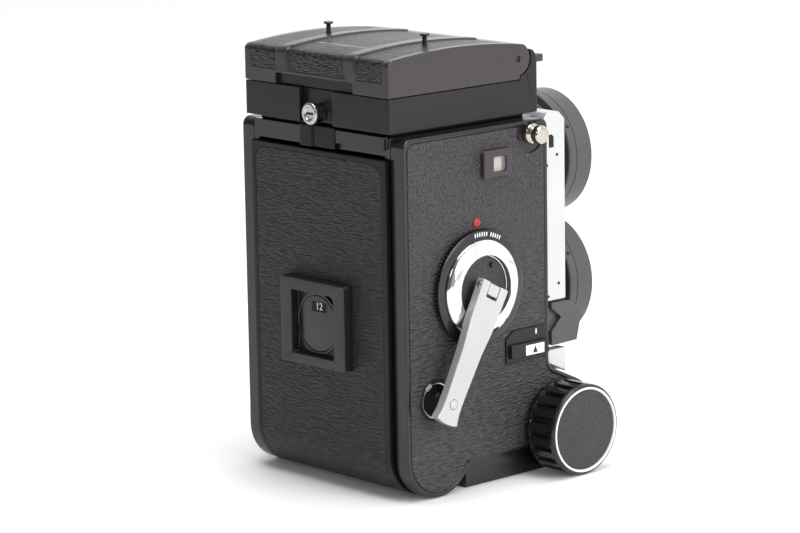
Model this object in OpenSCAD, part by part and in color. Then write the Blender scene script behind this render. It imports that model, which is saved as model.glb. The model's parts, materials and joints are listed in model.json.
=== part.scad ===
// Twin lens reflex camera for 6 x 6 cm roll film, with bellows focusing.
// Frame: origin at the tripod socket on the base, +Z up, lenses face -Y,
// the crank side is -X. All sizes are in millimetres.

/* [Body] */
// Half of the casting's width, between the two side covers
half_core = 38; // [37.5:0.5:38.5]
// Outer half width, over the side leathers
half_width = 45; // [44.5:0.5:46]
// Front face of the body
body_front = -37.7; // [-38.2:0.1:-37.4]
// Rear edge of the side covers
body_rear = 35.8; // [35.6:0.1:36.2]
// Top of the side covers
body_top = 136; // [135.5:0.5:136.5]
// Height of the smooth skirt below the side leathers
skirt_h = 11.2; // [10:0.2:12]
// Width of the metal rim around the side leathers
rim_w = 1.8; // [1.2:0.1:2.4]

/* [Focusing] */
// Radius of the rounded nose that holds the focusing shaft
nose_r = 17.6; // [17.2:0.1:18]
// Distance of the focusing shaft in front of the tripod socket
focus_y = -41.3; // [-41.6:0.1:-41]
// Radius of the focusing knobs
knob_r = 17.5; // [16:0.5:17.5]
// Outer faces of the focusing knobs, from the middle
knob_face = 61; // [58:0.5:62]
// Number of finger flutes around a knob
knob_flutes = 20; // [12:1:24]

/* [Lenses] */
// Height of the viewing lens axis
view_z = 113.7; // [113:0.1:114]
// Height of the taking lens axis
take_z = 63.7; // [63.2:0.1:64]
// Radius of both front rims
rim_r = 24.3; // [23.8:0.1:24.6]
// Radius of the 46 mm filter threads
filter_r = 23; // [22.5:0.1:23]
// Front plane of both rims
lens_front = -83.1; // [-84:0.1:-82]

/* [Film door] */
// Rear face of the door
door_rear = 38; // [37.8:0.1:38.2]
// Top edge of the door
door_top = 128; // [127:0.5:128]
// Radius of the rounded lower corner of the door
door_r = 17.6; // [17.4:0.1:17.6]

/* [Finder] */
// Half width of the finder and its hood
finder_half = 40; // [39.5:0.5:40.5]
// Underside of the finder
finder_bottom = 137.8; // [137.5:0.1:138]
// Top edge of the finder base
finder_top = 150.6; // [150.4:0.1:150.7]
// Height of the crowned lid
lid_top = 166.4; // [166:0.1:167]
// Length of the two folding side flaps
flap_len = 24; // [18:1:24]

/* [Film wind] */
// Height of the crank axis
hub_z = 76.7; // [76:0.1:77]
// Distance from the crank axis to its finger knob
crank_r = 44.8; // [44:0.1:45]
// Direction of the folded crank, from +Y, in degrees
crank_angle = -61.5; // [-63:0.5:-60]
// Outer face of the crank arm, from the middle
arm_face = 54.6; // [54:0.1:55]

/* [Hidden] */
$fn = 64;
eps = 0.01;
run = 0.05;                       // radial running clearance of pins and shafts

// Side covers and leathers
wall_in = half_core - 3;          // inner face of the casting's side walls
plate_in = half_width - 2.8;      // inner face of a cover's plate
plate_out = half_width - 0.8;     // outer face of a cover's plate, under the leather
rim_in = rim_w + 0.1;             // the leather's inset from the cover's outline
lobe_y = 19.6;                    // lower rear corner of the covers
lobe_z = 16.4;
lobe_r = body_rear - lobe_y;
lug_at = [-29, 131];
lug_r = 3.9;                      // foot of a strap lug
socket_depth = 5;                 // tripod socket, from the plane of the base

// Nose, with a sloping top that meets the body's front in a fillet
nose_y = -45;
nose_slope = 25;
fillet_r = 5;
focus_z = nose_r;

// Focusing gears: module 1, pressure angle 20 degrees
pinion_teeth = 12;
pinion_pitch = pinion_teeth / 2;
rack_add = 0.65;                  // short rack teeth keep clear of the pinion's roots
rack_ded = 1.2;
gear_slack = 0.12;
pressure = 20;
rack_x = [33.1, 36.3];
rack_top = focus_z + pinion_pitch + 5.4;
rack_y = [-49.3, 16];
slot_x = [32.9, 36.6];

// Front standard
std_half = 42;
std_y = [-50, -38.9];
std_top = 137;
board_y = [-44.5, -41.5];
shutter_r = 26;
bellows_y = [-38.9, -18];
folds = 8;

// Door
door_cy = door_rear - door_r;
door_cz = door_r + 0.3;
door_t = 2.6;
door_half = half_core - 0.4;
door_pin = [9.5, 3.2];
patch_half = 35;
leather_t = 0.8;
memo_z = [46.6, 79.1];
dial_z = 62.5;

// Finder and hood
lid_pin = [-27.6, 158.6];
lid_front_r = 6.2;
lid_foot = -28.6;                 // front end of the lid's lower edge
lid_rear = 38;
lid_corner = [35.5, 162];         // middle of the rounded rear edge
lid_t = 1.6;
lid_crown_r = 254;
lid_crown_y = 5;
flap_x = 37;
flap_y = 34;
flap_z = 151.7;
mag_pin = [25, 161];
stud_at = [26.7, 7.4];
screw_z = 141.9;

// Film wind
wind_teeth = 38;                  // module 1, as the focusing gears
take_up_teeth = 24;
hub_y = 0;
take_up = [hub_y, hub_z] + (wind_teeth + take_up_teeth) / 2 * [cos(49.84), sin(49.84)];
supply = [20.2, 16.2];
gear_x = [-41.6, -38.8];
spool_r = 12.5;
spool_half = 32.6;
crank_dir = [cos(crank_angle), sin(crank_angle)];
knob_at = [hub_y, hub_z] + crank_r * crank_dir;
arm_t = 3.7;
crank_pin_x = -(arm_face - arm_t / 2);
cup_at = [21.3, 37.3];
release_y = body_front + rim_w + 0.05;
window = [[-14.6, 119], [-8.1, 124.7]];   // of the frame counter
counter_at = [-10.2, 110.4];

black = "#1c1c1e";
grey_black = "#39383b";
leather_black = "#2a2a2c";
steel = "#c9c9c6";
chrome = "#e2e2e0";
brass = "#b08d4a";

// ---- helpers ------------------------------------------------------------

// Extrudes a (Y, Z) outline from x0 to x1
module along_x(x0, x1) translate([x0, 0, 0]) rotate([90, 0, 90]) linear_extrude(x1 - x0) children();
// Extrudes an (X, Z) outline from y0 to y1
module along_y(y0, y1) translate([0, y1, 0]) rotate([90, 0, 0]) linear_extrude(y1 - y0) children();
module along_z(z0, z1) translate([0, 0, z0]) linear_extrude(z1 - z0) children();
module block(lo, hi) translate(lo) cube(hi - lo);
module rod_x(x0, x1, r, at) translate([x0, at[0], at[1]]) rotate([0, 90, 0]) cylinder(h = x1 - x0, r = r);
module rod_y(y0, y1, r, at) translate([at[0], y1, at[1]]) rotate([90, 0, 0]) cylinder(h = y1 - y0, r = r);
module both_sides() { children(); mirror([1, 0, 0]) children(); }
// Turns a (radius, distance) outline about the Y axis through (X, Z)
module turned_y(at) translate([at[0], 0, at[1]]) rotate([-90, 0, 0]) rotate_extrude() children();
// Turns a (radius, distance) outline about the X axis through (Y, Z)
module turned_x(at) translate([0, at[0], at[1]]) rotate([0, 90, 0]) rotate_extrude() children();

module rect(lo, hi) translate(lo) square(hi - lo);
module rounded(lo, hi, r) {
    rect([lo[0] + r, lo[1]], [hi[0] - r, hi[1]]);
    rect([lo[0], lo[1] + r], [hi[0], hi[1] - r]);
    for (x = [lo[0] + r, hi[0] - r], y = [lo[1] + r, hi[1] - r]) translate([x, y]) circle(r);
}

// Involute function of a pressure angle, in degrees
function inv(a) = tan(a) * 180 / PI - a;
// Half of a tooth's angle at radius rho, for n teeth of module 1
function tooth_half(rho, n) = (PI / 2 - gear_slack) / n * 180 / PI + inv(pressure)
    - inv(acos(min(1, n / 2 * cos(pressure) / rho)));
function gear_points(n, add, ded) = let (
        base = max(n / 2 * cos(pressure), n / 2 - ded + eps), tip = n / 2 + add, mid = (base + tip) / 2,
        flank = [[n / 2 - ded, base], [base, base], [mid, mid], [tip, tip]])
    [for (k = [0:n - 1], i = [0:7]) let (
        p = flank[i < 4 ? i : 7 - i], side = i < 4 ? -1 : 1,
        a = 360 * k / n + side * tooth_half(p[1], n)) p[0] * [cos(a), sin(a)]];
module gear(x0, x1, n, at, phase, add = 0.9, ded = 1.2) {
    along_x(x0, x1) translate(at) rotate(phase) polygon(gear_points(n, add, ded));
}

// ---- outlines -----------------------------------------------------------

// Points along an arc, from angle a0 to a1
function arc(c, r, a0, a1, n) = [for (i = [0:n]) let (a = a0 + (a1 - a0) * i / n) c + r * [cos(a), sin(a)]];
function slope_tangent(g) = [nose_y, nose_r] + (nose_r - g) * [-sin(nose_slope), cos(nose_slope)];
function slope_z(g, y) = slope_tangent(g)[1] + (y - slope_tangent(g)[0]) * tan(nose_slope);
fillet_at = [body_front - fillet_r, slope_z(0, body_front - fillet_r) + fillet_r / cos(nose_slope)];

// Nose outline, inset by g, open towards the body as far as y = back
module nose_profile(g, back) polygon(concat([[back, slope_z(g, back)]],
    arc([nose_y, nose_r], nose_r - g, 90 + nose_slope, 270, 24), [[back, g]]));
// Concave fillet between the nose's top and the body's front
module nose_fillet(g) polygon(concat([[body_front + g + 1, slope_z(g, body_front) - 1]],
    arc(fillet_at, fillet_r + g, nose_slope - 90, 0, 8)));
// Outline of a side cover, inset by g
module side_profile(g) {
    corner = 3.4;
    foot = skirt_h + g / 6;
    polygon(concat(
        arc([body_front + g + corner, body_top - g - corner], corner, 180, 90, 6),
        arc([body_rear - g - corner, body_top - g - corner], corner, 90, 0, 6),
        arc([lobe_y, lobe_z], lobe_r - g, 0, asin((lobe_z - foot) / (lobe_r - g)) - 180, 30),
        arc([nose_y, nose_r], nose_r - g, 180 + asin((nose_r - foot) / (nose_r - g)), 90 + nose_slope, 14),
        arc(fillet_at, fillet_r + g, nose_slope - 90, 0, 8)));
}
// Door section: the outer line at radius r, from the hinge flap to the top edge
module door_profile(r, flap, top) {
    intersection() {
        translate([door_cy, door_cz]) circle(r);
        rect([door_cy - 1, 0], [door_cy + r + 1, door_cz + 1]);
    }
    rect([flap, door_cz - r], [door_cy, door_cz]);
    rect([flap, door_cz], [door_cy + r, top]);
}
module door_band(r_out, r_in, flap) difference() {
    door_profile(r_out, flap, door_top);
    door_profile(r_in, flap - 1, door_top + 1);
}
// Side view of the closed lid, inset by g
module lid_profile(g) intersection() {
    union() {
        translate(lid_pin) circle(lid_front_r - g);
        rect([lid_foot + g, finder_top + 0.3], [lid_corner[0], lid_top - g]);
        rect([lid_pin[0], finder_top + 0.3], [lid_rear - g, lid_corner[1]]);
        translate(lid_corner) circle(lid_rear - lid_corner[0] - g, $fn = 24);
    }
    translate([lid_crown_y, lid_top - lid_crown_r]) circle(lid_crown_r - g, $fn = 360);
}

// ---- body ---------------------------------------------------------------

module wall_profile() {
    rect([body_front, door_cz], [door_rear - 3, 128.4]);
    rect([body_front, 128], [body_rear, body_top]);
    translate([door_cy, door_cz]) circle(door_r - door_t - 0.5);
    rect([nose_y, 6.6], [door_cy, door_cz]);
    rect([nose_y, 2.6], [6, 8]);
    nose_profile(0, body_front + 1);
    nose_fillet(0);
}
module body_shell() color(black) difference() {
    union() {
        both_sides() along_x(wall_in, half_core) wall_profile();
        along_x(-wall_in, wall_in) {
            rect([body_front, 38], [body_front + 3, body_top]);            // front wall
            rect([body_front, 133.4], [30, body_top]);                     // top wall
            rect([30, 129], [body_rear, body_top]);                        // rear crossbar
            rect([nose_y, 2.6], [6, 5]);                                   // floor
            rect([24.5, 31], [28.5, 96]);                                  // film gate
            rect([-18, 36], [-16, 134]);                                   // bellows frame
            difference() {
                nose_profile(0, body_front + 1);
                nose_profile(2.4, body_front + 2);
            }
            nose_fillet(0);
        }
        along_x(-32.7, 32.7) {
            rect([4.4, 4], [6.4, 33]);                                     // supply chamber
            rect([6, 31], [25, 33]);
        }
        along_x(-26, 26) rect([-33, 88.2], [-17, 89.4]);                   // light divider
        along_y(body_rear - 1, 37.4) rect([-36.4, 131.6], [-10, 136.4]);   // plate beside the latch
        rod_x(-11.8, 11.8, 2.7, door_pin);
        block([-11.8, 5, 2.6], [11.8, 9.5, 5.7]);
        rod_x(-wall_in, -28.6, 3, supply);                                 // fixed spool pin
        rod_x(-41, -wall_in, 1.5 - run, counter_at);                       // counter dial's pin
        block([-7.5, -7.5, 4], [7.5, 7.5, 6.5]);                           // cap over the tripod socket
    }
    block([-50, -80, -1], [50, 6, 2.6]);                                   // seat of the base plate
    along_y(body_front - 1, body_front + 4) rect([-31.5, 40], [31.5, 133]);
    along_y(24, 29) rect([-28, 35.7], [28, 91.7]);
    along_y(-19, -15) {
        rect([-26, 91], [26, 131]);
        rect([-29, 40], [29, 86]);
    }
    block([-27, -23, 130], [27, 31, 140]);
    both_sides() {
        block([31.1, 24, 87.6], [33, 29, 97]);                             // clear of the upper spool
        block([slot_x[0], -80, focus_z + 4.6], [slot_x[1], body_front - 0.3, 60]);
        block([slot_x[0], body_front - 1, focus_z + 4.6], [slot_x[1], 17.5, rack_top + 0.6]);
        rod_x(slot_x[0], slot_x[1], 7.8, [focus_y, focus_z]);
    }
    rod_x(-50, 50, 3 + run, [focus_y, focus_z]);
    rod_x(-40, -30, 3 + run, take_up);
    rod_x(30, 40, 3 + run, take_up);
    rod_x(30, 40, 3 + run, supply);
    rod_x(-12, 12, 1.2 + run, door_pin);
    block([-3.3, 33, 132.8], [6.4, 37, 135.2]);                            // latch slot
    block([-6.2, -6.2, 1], [6.2, 6.2, socket_depth + run]);                // tripod socket's boss
}
module cover_blank() difference() {
    along_x(half_core, half_width) side_profile(0);
    along_x(plate_out, half_width + 1) side_profile(rim_w);
    along_x(half_core - 1, plate_in) side_profile(rim_w + 0.9);
    rod_x(30, 50, 3.3, [focus_y, focus_z]);
    rod_x(plate_out, 50, lug_r + run, lug_at);
}
module right_side_cover() color(black) difference() {
    mirror([1, 0, 0]) cover_blank();
    rod_x(-46, -38, 8 + run, [hub_y, hub_z]);
    rod_x(-46, -38, 8, cup_at);
    along_x(-46, -38) rect(window[0], window[1]);
}
module left_side_cover() color(black) difference() {
    cover_blank();
    for (at = [take_up, supply]) rod_x(38, 46, 3 + run, at);
}
module leather_blank() difference() {
    along_x(plate_out, half_width) side_profile(rim_in);
    rod_x(40, 50, 7.2, lug_at);
    rod_x(40, 50, 3.3, [focus_y, focus_z]);
}
module release_outline() polygon([[release_y, 44.8], [-14.6, 44.8],
    [-14.6, 54.4], [-18.8, 57.2], [release_y, 57.2]]);
module counter_outline(g) rounded(window[0] - [3 + g, 2 + g], window[1] + [5.1 + g, 2.7 + g], 1.5 + g);
module right_leather() color(leather_black) difference() {
    mirror([1, 0, 0]) leather_blank();
    rod_x(-46, -40, 9, [hub_y, hub_z]);
    rod_x(-46, -40, 8, cup_at);
    along_x(-46, -40) {
        counter_outline(0.1);
        release_outline();
    }
}
module left_leather() color(leather_black) difference() {
    leather_blank();
    for (at = [take_up, supply]) rod_x(38, 46, 3.4, at);
}
module base_plate() color(black) difference() {
    union() {
        difference() {
            along_x(-42, 42) nose_profile(0, 6);
            block([-50, -80, skirt_h - 0.1], [50, 20, 80]);
            block([-half_core - 0.02, -80, 2.6], [half_core + 0.02, 20, 30]);
            both_sides() block([half_core - 0.05, 3.9, -1], [50, 20, 30]);
        }
        cylinder(h = socket_depth, r = 6);
    }
    translate([0, 0, -1]) cylinder(h = 10, r = 3.175);
}
module mirror_place(s0, s1, n0, n1, half) {
    translate([0, 4, view_z]) rotate([45, 0, 0]) block([-half, s0, n0], [half, s1, n1]);
}
module reflex_mirror() color(chrome) mirror_place(-26, 26, -1.5, 0, 26.5);
module mirror_frame() color(black) mirror_place(-26.5, 26.2, -3.4, -1.5, wall_in);
module focusing_screen() color("#b9c2c4") block([-30, -26, 138.8], [30, 33, 140]);
module strap_lugs() color(chrome) both_sides() turned_x(lug_at) polygon([[0, plate_out], [lug_r, plate_out],
    [lug_r, 46.3], [2.8, 47.4], [2.6, 47.9], [3.5, 48.4], [3.5, 50.9], [3, 51.5], [0, 51.5]]);
module accessory_shoe() color(steel) difference() {
    block([half_width, -14.6, 50], [49.1, 7.6, 68]);
    block([46.3, -12.9, 51.4], [48.4, 5.9, 69]);
    block([48.3, -9.8, 49], [49.2, 2.8, 69]);
    for (z = [55, 64]) rod_x(40, 50, 1.1, [-3.5, z]);
}
module crank_cup() color(black) difference() {
    rod_x(-45.1, -38.7, 7.95, cup_at);
    rod_x(-46, -39.5, 7.1, cup_at);
}
module counter_frame() color(grey_black) difference() {
    along_x(-46.9, -plate_out) counter_outline(0);
    along_x(-50, -40) rect(window[0], window[1]);
}
module counter_glass() color("#d8d2b4") along_x(-46, -45.2)
    rect(window[0] + [run, run], window[1] - [run, run]);
module counter_dial() color("#e6dfc0") difference() {
    rod_x(-40.2, -39.2, 13, counter_at);
    rod_x(-42, -38, 1.5, counter_at);
}
module release_plate() color(black) along_x(-45.6, -plate_out) release_outline();
module release_slider() color(grey_black) along_x(-47.1, -45.65) rounded([-35.7, 46.7], [-16, 52], 0.5);

// ---- film transport -----------------------------------------------------

module spool(at) difference() {
    union() {
        both_sides() rod_x(spool_half - 1.2, spool_half, spool_r, at);
        rod_x(-spool_half, spool_half, 5.6, at);
    }
    both_sides() rod_x(28, 40, 3 + 1.6 * run, at);
}
module supply_spool() color("#6b5f52") spool(supply);
module take_up_spool() color("#3c3c3e") spool(take_up);
module take_up_gear() color(brass) {
    gear(gear_x[0], gear_x[1], take_up_teeth, take_up, 49.84 + 180 + 180 / take_up_teeth, 0.95);
    rod_x(gear_x[0], -28.4, 3, take_up);
}
module wind_gear() color(brass) difference() {
    gear(gear_x[0], gear_x[1], wind_teeth, [hub_y, hub_z], 49.84, 0.95);
    rod_x(-50, -30, 4, [hub_y, hub_z]);
}
module selector_ring() color(black) difference() {
    rod_x(-47.6, -half_width - 0.03, 22, [hub_y, hub_z]);
    rod_x(-50, -40, 8 + run, [hub_y, hub_z]);
}
module crank_hub() color(chrome) {
    turned_x([hub_y, hub_z]) polygon([[0, -48.1], [12.6, -48.1], [12.6, -50.4], [13.1, -50.6], [14.6, -50.4],
        [17.6, -49.2], [18.3, -48.6], [18.3, -47.65], [8, -47.65], [8, -42.4], [4, -42.4], [4, -38.6],
        [0, -38.6]]);
    crank_frame() {
        along_y_local(-2.7, 2.7) rounded([-2.2, -1.7], [2.2, 4.9], 1.2);
        pin_local(-6.9, 6.9, 1.2);
    }
}
// Crank coordinates: +X runs along the folded arm, Y along the hinge pin, Z into the body
module crank_frame() translate([crank_pin_x, hub_y, hub_z]) rotate([crank_angle, 0, 0])
    multmatrix([[0, 0, 1, 0], [1, 0, 0, 0], [0, 1, 0, 0], [0, 0, 0, 1]]) children();
module along_y_local(y0, y1) translate([0, y1, 0]) rotate([90, 0, 0]) linear_extrude(y1 - y0) children();
module pin_local(y0, y1, r) translate([0, y0, 0]) rotate([-90, 0, 0]) cylinder(h = y1 - y0, r = r);
module crank_arm() color(steel) crank_frame() difference() {
    translate([0, 0, -arm_t / 2]) linear_extrude(arm_t) polygon([[-2.4, -7], [-2.4, 7], [13, 6.6],
        [24, 5.2], [43, 4.5], [48, 4.7], [51.8, 5.6], [52.4, 3], [52.6, 0], [52.4, -3], [51.8, -5.6],
        [48, -4.7], [43, -4.5], [24, -5.2], [13, -6.6]]);
    translate([-3, -2.9, -3]) cube([6.3, 5.8, 6]);
    pin_local(-8, 8, 1.2 + run);
    translate([crank_r, 0, -3]) cylinder(h = 6, r = 1.5 + run);
}
module crank_knob() color(steel) {
    rod_x(-50.85, -47.3, 4.2, knob_at);
    rod_x(-arm_face, -50, 1.5, knob_at);
}

// ---- finder and hood ----------------------------------------------------

module finder_base() color(grey_black) difference() {
    union() {
        block([-finder_half, -37.4, finder_bottom], [finder_half, 38, finder_top]);
        block([-36, -34, body_top], [36, 34, finder_bottom]);
        both_sides() {
            block([36.3, lid_pin[0] + 0.4, 150], [38.1, lid_pin[0] + 4.6, lid_pin[1]]);
            rod_x(36.3, 38.1, 2.9, lid_pin);
            along_x(37.9, finder_half) difference() {
                polygon([[-37.4, 150], [-37.4, 156.5], [-36.8, 159.6], [-35.6, 161.3], [-34.2, 161.8],
                    [lid_foot - 0.3, lid_pin[1]], [lid_foot - 0.3, 150]]);
                translate(lid_pin) circle(lid_front_r + 0.6);
            }
            rod_x(38, 39.9, 1.2, lid_pin);
            for (y = [-20.7, 33.3]) block([35.9, y, 150], [38.1, y + 1.3, 152.8]);
            block([34.6, 32.6, 150], [35.8, 35.6, 152.8]);
        }
    }
    block([-27, -23, 130], [27, 31, 150]);
    block([-30.1, -26.1, 138.8], [30.1, 33.1, 160]);
    block([-36.5, -33, 141], [36.5, 33.9, 160]);
    block([-9, 35.6, 130], [9, 40, 160]);
    both_sides() {
        rod_y(-25, 40, 0.55, [flap_x, flap_z]);
        rod_x(34, 37, 0.55, [flap_y, flap_z]);
    }
    rod_y(32, 40, 1.5 + run, [0, screw_z]);
}
module finder_screw() color(chrome) difference() {
    turned_y([0, screw_z]) polygon([[0, 34], [1.5, 34], [1.5, 35.7], [3.5, 35.7], [3.5, 39.4], [4.2, 39.7],
        [4.2, 41.2], [3.8, 41.6], [0, 41.6]]);
    block([-3, 40.8, screw_z - 0.5], [3, 42, screw_z + 0.5]);
}
module hinge_cover() color(black) along_x(-37.8, 37.8) polygon([[-37.4, finder_top], [-37.4, 155.2],
    [-36.9, 155.9], [-36.2, 156.1], [-34, 156.1], [-33.4, 154.4], [-33.4, finder_top]]);
module magnifier_tab() color(grey_black) block([-37.8, -43, 156.15], [-32, -34.4, 158.9]);
module lid_shape() difference() {
    union() {
        along_x(-finder_half, finder_half) lid_profile(0);
        both_sides() intersection() {
            along_x(16.2, 21.7) lid_profile(-0.7);
            block([0, -24, lid_pin[1]], [50, lid_rear + 0.6, 200]);
        }
    }
    along_x(-finder_half + lid_t, finder_half - lid_t) difference() {
        lid_profile(lid_t);
        rect([36.2, 100], [50, 200]);
    }
    along_x(-finder_half + lid_t, finder_half - lid_t) rect([-40, 100], [36.2, lid_pin[1]]);
}
module lid_patches(t) {
    both_sides() along_x(22.6, finder_half - 3.4) difference() {
        lid_profile(0);
        lid_profile(t);
        rect([-50, 100], [-22, 200]);
        rect([0, 100], [50, 156.2]);
    }
    along_x(-15.4, 15.4) difference() {
        lid_profile(0);
        lid_profile(t);
        rect([-50, 100], [-22, 200]);
        rect([0, 100], [50, 156.2]);
        rect([22.4, 160], [25.4, 200]);
    }
}
module hood_lid() color(black) {
    difference() {
        lid_shape();
        lid_patches(0.6);
        block([-20.5, 33, 150], [22.6, 40, 154.9]);
        both_sides() rod_x(36, 42, 1.2 + run, lid_pin);
        rod_x(-20, 20, 1 + run, mag_pin);
    }
    difference() {
        both_sides() block([12.6, mag_pin[0] - 2, mag_pin[1] - 2.2], [14.2, mag_pin[0] + 2, 164]);
        rod_x(-20, 20, 1 + run, mag_pin);
    }
    both_sides() {
        translate([stud_at[0], stud_at[1], 165]) cylinder(h = 5.6, r = 0.9);
        translate([stud_at[0], stud_at[1], 169.9]) cylinder(h = 0.8, r = 1.8);
    }
}
module lid_leather() color(leather_black) difference() {
    lid_patches(0.55);
    both_sides() translate([stud_at[0], stud_at[1], 160]) cylinder(h = 10, r = 1.3);
}
// Side flap: its rear corner is mitred against the rear flap
module flap_side() {
    along_z(flap_z - 0.5, flap_z + 0.5) polygon([[flap_x - 0.9, -19], [flap_x - 0.9, flap_y - 1.9],
        [flap_x - flap_len, flap_y - flap_len - 1], [flap_x - flap_len, -19]]);
    rod_y(-20.4, 34, 0.5, [flap_x, flap_z]);
    block([flap_x - 1, -19, flap_z - 0.5], [flap_x, 31.6, flap_z + 0.5]);
}
module flap_left() color(black) flap_side();
module flap_right() color(black) mirror([1, 0, 0]) flap_side();
module flap_rear() color(black) {
    along_z(flap_z - 0.5, flap_z + 0.5) polygon([[-33.9, flap_y - 1], [33.9, flap_y - 1],
        [flap_x - flap_len, flap_y - flap_len + 0.9], [-flap_x + flap_len, flap_y - flap_len + 0.9]]);
    block([-33.9, flap_y - 1.1, flap_z - 0.5], [33.9, flap_y, flap_z + 0.5]);
    rod_x(-35.4, 35.4, 0.5, [flap_y, flap_z]);
}
module magnifier_frame() color(black) difference() {
    union() {
        along_z(157.8, 159.8) rounded([-11.4, -9], [11.4, 18], 3);
        both_sides() along_z(157.8, 159.8) rect([6, 10], [11.4, 26]);
        rod_x(-11.4, 11.4, 1.8, mag_pin);
        rod_x(-14, 14, 1, mag_pin);
    }
    translate([0, 3, 150]) cylinder(h = 20, r = 9.5);
    block([-6, 18.2, 150], [6, 23, 160]);
    block([-20, 22, 150], [20, 30, 159.3]);
}
module magnifier_lens() color("#aab8bd") translate([0, 3, 157.6]) cylinder(h = 2.4, r = 9.5);

// ---- film door ----------------------------------------------------------

// Area of the door's leather, grown by g, out to radius r
module door_patch(g, r) intersection() {
    along_x(-patch_half - g, patch_half + g) door_band(r, door_r - leather_t, door_pin[0]);
    along_y(20, 40) rounded([-patch_half - g, 2.4 - g], [patch_half + g, door_top - 2 + g], 5);
    block([-40, 27, -5], [40, 45, 140]);
}
module back_door() color(black) difference() {
    union() {
        along_x(-door_half, door_half) door_band(door_r, door_r - door_t, door_pin[0]);
        both_sides() rod_x(12, 34, 2.7, door_pin);
    }
    door_patch(run, door_r + 1);
    block([-12.1, 0, -2], [12.1, 12.7, 8]);
    both_sides() block([34, 0, -2], [40, 12.7, 8]);
    rod_x(-50, 50, 1.2 + run, door_pin);
}
module door_leather() color(leather_black) door_patch(0, door_r);
module memo_frame() color(black) difference() {
    along_y(door_rear, 42) rounded([-17.9, memo_z[0]], [17.9, memo_z[1]], 0.9);
    along_y(door_rear + 0.4, 43) rounded([-11.8, 50.4], [11.8, 74.5], 0.5);
}
module film_dial() color(black) difference() {
    rod_y(38.45, 39.2, 11.8, [0, dial_z]);
    block([-5, 38, 67], [3, 40, 70.8]);
}
module pressure_plate() color("#3a3a3c") {
    block([-31, 29.6, 34], [31, 31.2, 93.5]);
    for (x = [-16, 16], z = [48, 80]) rod_y(31, door_rear - door_t, 2.5, [x, z]);
}
module door_hinge_pin() color(steel) rod_x(-33.8, 33.8, 1.2, door_pin);
module door_latch() color(black) {
    difference() {
        block([-9.5, body_rear + 0.05, 129], [9.3, 38.2, 137]);
        block([-9.6, 37.4, 128], [2.7, 39, 138]);
    }
    block([-3, 33.6, 133], [3, body_rear + 0.1, 135]);
}

// ---- focusing and front standard ----------------------------------------

module focus_shaft() color(steel) {
    rod_x(-52, 52, 3, [focus_y, focus_z]);
    for (x = [-rack_x[1], rack_x[0]])
        gear(x, x + rack_x[1] - rack_x[0], pinion_teeth, [focus_y, focus_z], 180 / pinion_teeth, 0.85, 0.95);
}
module knob_side() difference() {
    rod_x(46.2, knob_face - 0.2, knob_r, [focus_y, focus_z]);
    rod_x(40, 52.1, 3 + eps, [focus_y, focus_z]);
    rod_x(knob_face - 1.2, knob_face + 1, 16.6, [focus_y, focus_z]);
    for (k = [0:knob_flutes - 1]) translate([0, focus_y, focus_z]) rotate([360 * k / knob_flutes, 0, 0])
        block([48, -1.1, knob_r - 1.5], [58.6, 1.1, knob_r + 2]);
}
module focus_knobs() color(black) both_sides() knob_side();
module knob_rings() color(chrome) both_sides() difference() {
    rod_x(knob_face - 1.2, knob_face, 16.5, [focus_y, focus_z]);
    rod_x(knob_face - 0.6, knob_face + 1, 15.3, [focus_y, focus_z]);
}
module focus_racks() color(steel) both_sides() along_x(rack_x[0], rack_x[1]) {
    zp = focus_z + pinion_pitch;
    half = (PI / 2 - gear_slack) / 2;
    lean = tan(pressure);
    rect([rack_y[0], zp + rack_ded], [rack_y[1], rack_top]);
    for (k = [-2:17]) translate([focus_y + k * PI, zp]) polygon([[-half - rack_ded * lean, rack_ded + eps],
        [-half + rack_add * lean, -rack_add], [half - rack_add * lean, -rack_add],
        [half + rack_ded * lean, rack_ded + eps]]);
}
module standard_side() polygon([[std_y[1], std_top - 2], [std_y[1], 43.6], [-40.6, 40.4], [std_y[0], 36],
    [std_y[0], std_top - 3], [std_y[0] + 3, std_top], [std_y[1] - 2, std_top]]);
module front_standard() color(steel) difference() {
    union() {
        along_x(-std_half, std_half) standard_side();
        both_sides() block([rack_x[0], rack_y[0], rack_top], [rack_x[1], -41.2, 43]);
    }
    along_y(-51, board_y[1]) rect([-37.5, 42], [37.5, 134]);
    along_y(-45, -38) rect([-30.5, 43], [30.5, 131]);
    along_y(-60, std_y[1] - 1.6) rect([-std_half - 1, 45.6], [-35.8, 64.6]);
    rod_y(-51, board_y[0] + run, 21.1, [0, view_z]);
    rod_y(-51, board_y[0] + run, shutter_r + 0.1, [0, take_z]);
}
module lens_board() color(black) difference() {
    along_y(board_y[0], board_y[1]) union() {
        rounded([-37.3, 66], [37.3, 133.8], 2);
        rect([-35.2, 42.2], [37.3, 70]);
    }
    rod_y(-50, -40, 16.5 + eps, [0, view_z]);
    rod_y(-50, -40, 18 + eps, [0, take_z]);
}
module bellows() color("#18181a") {
    pitch = (bellows_y[1] - bellows_y[0] - 0.2) / folds;
    for (i = [0:folds - 1]) {
        w = i % 2 == 0 ? 30.6 : 28.6;
        along_y(bellows_y[0] + 0.1 + i * pitch, bellows_y[0] + 0.1 + (i + 1) * pitch) difference() {
            rect([-w, 41.5 + 30.6 - w], [w, 132 - 30.6 + w]);
            rect([-27, 45], [27, 128.4]);
        }
    }
}
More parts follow.
